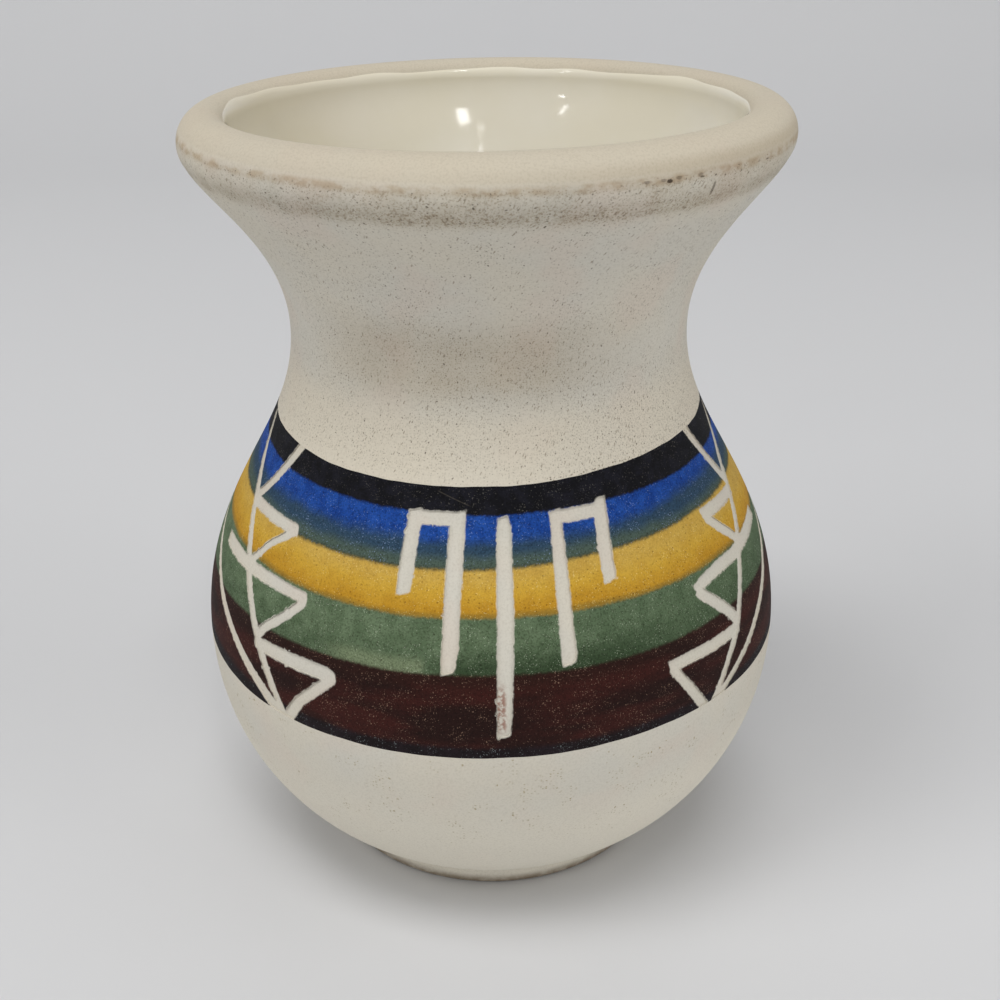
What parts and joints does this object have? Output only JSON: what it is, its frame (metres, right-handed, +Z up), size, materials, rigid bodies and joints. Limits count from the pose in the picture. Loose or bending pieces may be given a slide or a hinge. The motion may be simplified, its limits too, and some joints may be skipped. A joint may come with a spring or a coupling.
{
  "type": "pottery vase",
  "caption": "Small round-bellied pottery vase with a flared neck, a thick rolled lip, banded stain round the belly and a glossy glaze inside.",
  "frame": {"origin": "centre of the foot, where the vase stands", "axes": "+Z up along the axis the vase was turned on; -Y faces the side that the picture shows"},
  "size_m": [0.0786, 0.0786, 0.102],
  "materials": {
    "clay": "matt bare clay, smooth, with fine dark specks and dirt under the lip",
    "glaze": "glossy clear glaze over the pale clay",
    "stain_black": "matt black stain",
    "stain_blue": "matt blue stain that turns teal at its lower edge",
    "stain_yellow": "matt ochre yellow stain, speckled",
    "stain_green": "matt sage green stain, mottled",
    "stain_maroon": "matt maroon brown stain, streaky",
    "stain_black_base": "matt blue-black stain"
  },
  "bodies": {
    "root": {"clay_body": "clay", "glaze_lining": "glaze", "black_shoulder_stripe": "stain_black", "blue_stripe": "stain_blue", "yellow_stripe": "stain_yellow", "green_stripe": "stain_green", "maroon_stripe": "stain_maroon", "black_base_stripe": "stain_black_base"}
  },
  "joints": []
}
